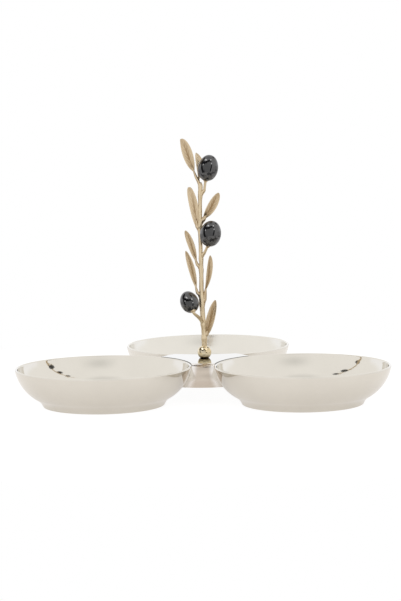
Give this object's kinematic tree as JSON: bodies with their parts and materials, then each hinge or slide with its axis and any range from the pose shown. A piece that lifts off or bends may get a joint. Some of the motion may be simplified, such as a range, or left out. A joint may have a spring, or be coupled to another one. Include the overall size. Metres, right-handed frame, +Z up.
{
  "type": "olive dish",
  "caption": "Serving dish of round polished bowls joined by a flat bridge, with a gilt olive branch as an upright carrying handle.",
  "frame": {"origin": "on the handle's axis, midway between the bowls, at the table plane under the foot rings", "axes": "+Z up along the handle, +Y towards the back bowl, +X to the right seen from the front"},
  "size_m": [0.2746, 0.2552, 0.1931],
  "materials": {
    "nickel": "mirror polished, warm white nickel",
    "brass": "polished",
    "gold": "satin, champagne gold",
    "black": "high gloss black"
  },
  "bodies": {
    "root": {"back_bowl": "nickel", "left_bowl": "nickel", "right_bowl": "nickel", "bridge": "nickel", "fixing_screw": "brass", "washer": "brass", "ball_knop": "brass", "branch_stem": "gold", "top_leaf": "gold", "top_rear_leaf": "gold", "upper_left_leaf": "gold", "upper_right_leaf": "gold", "middle_left_leaf": "gold", "lower_left_leaf": "gold", "lower_right_leaf": "gold", "bottom_right_leaf": "gold", "top_olive_stalk": "gold", "middle_olive_stalk": "gold", "low_olive_stalk": "gold", "top_olive": "black", "middle_olive": "black", "low_olive": "black"}
  },
  "joints": []
}
